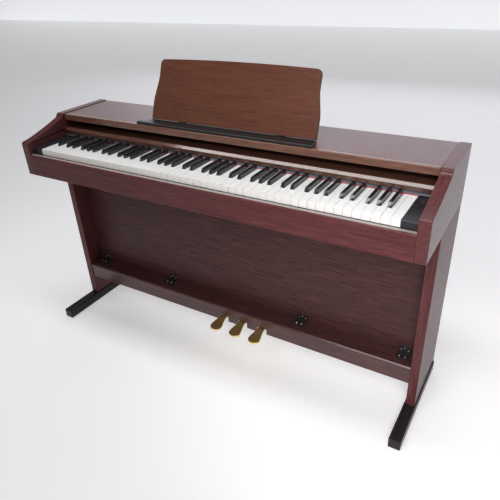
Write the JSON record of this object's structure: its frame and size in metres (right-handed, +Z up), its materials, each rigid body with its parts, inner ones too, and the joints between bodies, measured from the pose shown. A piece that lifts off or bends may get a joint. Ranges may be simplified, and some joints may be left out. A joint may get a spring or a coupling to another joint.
{
  "type": "digital piano on stand",
  "caption": "Compact home digital piano on a panel stand, with full-size keys, sliding key cover, folding music rest and a pedal box with three pedals.",
  "frame": {"origin": "on the floor, under the middle of the instrument's width and depth", "axes": "+X to the player's right, +Y from the player to the back, +Z up"},
  "size_m": [1.376, 0.392, 0.9751],
  "materials": {
    "body_wood": "satin",
    "rail_wood": "gloss",
    "rest_wood": "satin",
    "dark_wood": "satin",
    "hardboard": "matte",
    "black_plastic": "satin",
    "grey_plastic": "matte",
    "white_key_plastic": "gloss",
    "black_key_plastic": "gloss",
    "pin_plastic": "satin",
    "circuit_board": "satin",
    "felt": "matte",
    "steel": "satin",
    "dark_metal": "satin",
    "brass": "gloss"
  },
  "bodies": {
    "case": {"left_side_board": "body_wood", "right_side_board": "body_wood", "top_board": "body_wood", "top_front_strip": "rail_wood", "rear_board": "dark_wood", "bottom_board": "dark_wood", "key_slip": "body_wood", "left_key_block": "black_plastic", "right_key_block": "black_plastic", "name_strip": "rest_wood", "key_ledge": "grey_plastic", "red_felt": "felt", "key_chassis": "grey_plastic", "key_pivot_rod": "steel", "circuit_boards": "circuit_board", "rest_base_plates": "dark_metal", "music_ledge": "black_plastic", "speakers": "dark_metal", "speaker_grilles": "dark_metal", "jack_panel": "black_plastic", "headphone_plate": "black_plastic", "left_leg": "body_wood", "right_leg": "body_wood", "feet": "dark_wood", "back_panel": "body_wood", "pedal_board": "dark_wood", "pedal_fascia": "dark_wood", "pedal_mount": "steel", "pedal_axle": "steel", "pedal_spring_left": "steel", "pedal_spring_middle": "steel", "pedal_spring_right": "steel", "corner_brackets": "dark_metal"},
    "key_cover": {"cover_rail": "rail_wood", "cover_panel": "hardboard", "cover_pins": "pin_plastic"},
    "folding_rest": {"music_rest": "rest_wood", "rest_brackets": "dark_metal"},
    "stay": {"rest_stay": "steel"},
    "left_pedal": {"pedal_left": "brass"},
    "middle_pedal": {"pedal_middle": "brass"},
    "right_pedal": {"pedal_right": "brass"},
    "power_switch": {"power_button": "black_plastic"},
    "volume_control": {"volume_slider": "black_plastic"},
    "white_key_c": {"white_key_c": "white_key_plastic"},
    "black_key_c_sharp": {"black_key_c_sharp": "black_key_plastic"},
    "white_key_d": {"white_key_d": "white_key_plastic"},
    "black_key_d_sharp": {"black_key_d_sharp": "black_key_plastic"},
    "white_key_e": {"white_key_e": "white_key_plastic"},
    "white_key_f": {"white_key_f": "white_key_plastic"},
    "black_key_f_sharp": {"black_key_f_sharp": "black_key_plastic"},
    "white_key_g": {"white_key_g": "white_key_plastic"},
    "black_key_g_sharp": {"black_key_g_sharp": "black_key_plastic"},
    "white_key_a": {"white_key_a": "white_key_plastic"},
    "black_key_a_sharp": {"black_key_a_sharp": "black_key_plastic"},
    "white_key_b": {"white_key_b": "white_key_plastic"},
    "white_keys_low": {"white_keys_low": "white_key_plastic"},
    "black_keys_low": {"black_keys_low": "black_key_plastic"},
    "white_keys_high": {"white_keys_high": "white_key_plastic"},
    "black_keys_high": {"black_keys_high": "black_key_plastic"}
  },
  "joints": [
    {"name": "cover_slide", "type": "slide", "parent": "case", "child": "key_cover", "axis": [0, -0.9992, -0.0407], "range_m": [0, 0.156]},
    {"name": "rest_fold", "type": "hinge", "parent": "case", "child": "folding_rest", "pos_m": [0, 0.064, 0.7925], "axis": [-1, 0, 0], "range_deg": [0, 66]},
    {"name": "stay_swing", "type": "hinge", "parent": "folding_rest", "child": "stay", "pos_m": [0, 0.0846, 0.84672], "axis": [1, 0, 0], "range_deg": [0, 132]},
    {"name": "power_press", "type": "slide", "parent": "case", "child": "power_switch", "axis": [0, 0, -1], "range_m": [0, 0.0012], "stiffness_N_per_m": 800, "springref_m": -0.0006},
    {"name": "volume_move", "type": "slide", "parent": "case", "child": "volume_control", "axis": [0, 1, 0], "range_m": [-0.0045, 0.0185]},
    {"name": "left_pedal_press", "type": "hinge", "parent": "case", "child": "left_pedal", "pos_m": [0, 0.049, 0.1305], "axis": [1, 0, 0], "range_deg": [0, 7], "stiffness_Nm_per_rad": 8, "springref_deg": -11.46, "deforming": ["pedal_spring_left"]},
    {"name": "middle_pedal_press", "type": "hinge", "parent": "case", "child": "middle_pedal", "pos_m": [0, 0.049, 0.1305], "axis": [1, 0, 0], "range_deg": [0, 7], "stiffness_Nm_per_rad": 8, "springref_deg": -11.46, "deforming": ["pedal_spring_middle"]},
    {"name": "right_pedal_press", "type": "hinge", "parent": "case", "child": "right_pedal", "pos_m": [0, 0.049, 0.1305], "axis": [1, 0, 0], "range_deg": [0, 7], "stiffness_Nm_per_rad": 8, "springref_deg": -11.46, "deforming": ["pedal_spring_right"]},
    {"name": "white_key_c_press", "type": "hinge", "parent": "case", "child": "white_key_c", "pos_m": [0, 0.044, 0.702], "axis": [1, 0, 0], "range_deg": [0, 2.67], "stiffness_Nm_per_rad": 1.3, "springref_deg": -6.88},
    {"name": "black_key_c_sharp_press", "type": "hinge", "parent": "case", "child": "black_key_c_sharp", "pos_m": [0, 0.044, 0.702], "axis": [1, 0, 0], "range_deg": [0, 2.67], "stiffness_Nm_per_rad": 1.3, "springref_deg": -6.88},
    {"name": "white_key_d_press", "type": "hinge", "parent": "case", "child": "white_key_d", "pos_m": [0, 0.044, 0.702], "axis": [1, 0, 0], "range_deg": [0, 2.67], "stiffness_Nm_per_rad": 1.3, "springref_deg": -6.88},
    {"name": "black_key_d_sharp_press", "type": "hinge", "parent": "case", "child": "black_key_d_sharp", "pos_m": [0, 0.044, 0.702], "axis": [1, 0, 0], "range_deg": [0, 2.67], "stiffness_Nm_per_rad": 1.3, "springref_deg": -6.88},
    {"name": "white_key_e_press", "type": "hinge", "parent": "case", "child": "white_key_e", "pos_m": [0, 0.044, 0.702], "axis": [1, 0, 0], "range_deg": [0, 2.67], "stiffness_Nm_per_rad": 1.3, "springref_deg": -6.88},
    {"name": "white_key_f_press", "type": "hinge", "parent": "case", "child": "white_key_f", "pos_m": [0, 0.044, 0.702], "axis": [1, 0, 0], "range_deg": [0, 2.67], "stiffness_Nm_per_rad": 1.3, "springref_deg": -6.88},
    {"name": "black_key_f_sharp_press", "type": "hinge", "parent": "case", "child": "black_key_f_sharp", "pos_m": [0, 0.044, 0.702], "axis": [1, 0, 0], "range_deg": [0, 2.67], "stiffness_Nm_per_rad": 1.3, "springref_deg": -6.88},
    {"name": "white_key_g_press", "type": "hinge", "parent": "case", "child": "white_key_g", "pos_m": [0, 0.044, 0.702], "axis": [1, 0, 0], "range_deg": [0, 2.67], "stiffness_Nm_per_rad": 1.3, "springref_deg": -6.88},
    {"name": "black_key_g_sharp_press", "type": "hinge", "parent": "case", "child": "black_key_g_sharp", "pos_m": [0, 0.044, 0.702], "axis": [1, 0, 0], "range_deg": [0, 2.67], "stiffness_Nm_per_rad": 1.3, "springref_deg": -6.88},
    {"name": "white_key_a_press", "type": "hinge", "parent": "case", "child": "white_key_a", "pos_m": [0, 0.044, 0.702], "axis": [1, 0, 0], "range_deg": [0, 2.67], "stiffness_Nm_per_rad": 1.3, "springref_deg": -6.88},
    {"name": "black_key_a_sharp_press", "type": "hinge", "parent": "case", "child": "black_key_a_sharp", "pos_m": [0, 0.044, 0.702], "axis": [1, 0, 0], "range_deg": [0, 2.67], "stiffness_Nm_per_rad": 1.3, "springref_deg": -6.88},
    {"name": "white_key_b_press", "type": "hinge", "parent": "case", "child": "white_key_b", "pos_m": [0, 0.044, 0.702], "axis": [1, 0, 0], "range_deg": [0, 2.67], "stiffness_Nm_per_rad": 1.3, "springref_deg": -6.88},
    {"name": "white_keys_low_press", "type": "hinge", "parent": "case", "child": "white_keys_low", "pos_m": [0, 0.044, 0.702], "axis": [1, 0, 0], "range_deg": [0, 2.67], "stiffness_Nm_per_rad": 29.9, "springref_deg": -6.88},
    {"name": "black_keys_low_press", "type": "hinge", "parent": "case", "child": "black_keys_low", "pos_m": [0, 0.044, 0.702], "axis": [1, 0, 0], "range_deg": [0, 2.67], "stiffness_Nm_per_rad": 20.8, "springref_deg": -6.88},
    {"name": "white_keys_high_press", "type": "hinge", "parent": "case", "child": "white_keys_high", "pos_m": [0, 0.044, 0.702], "axis": [1, 0, 0], "range_deg": [0, 2.67], "stiffness_Nm_per_rad": 28.6, "springref_deg": -6.88},
    {"name": "black_keys_high_press", "type": "hinge", "parent": "case", "child": "black_keys_high", "pos_m": [0, 0.044, 0.702], "axis": [1, 0, 0], "range_deg": [0, 2.67], "stiffness_Nm_per_rad": 19.5, "springref_deg": -6.88}
  ],
  "couplings": [
    {"joint": "stay_swing", "follows": "rest_fold", "ratio": 2}
  ]
}
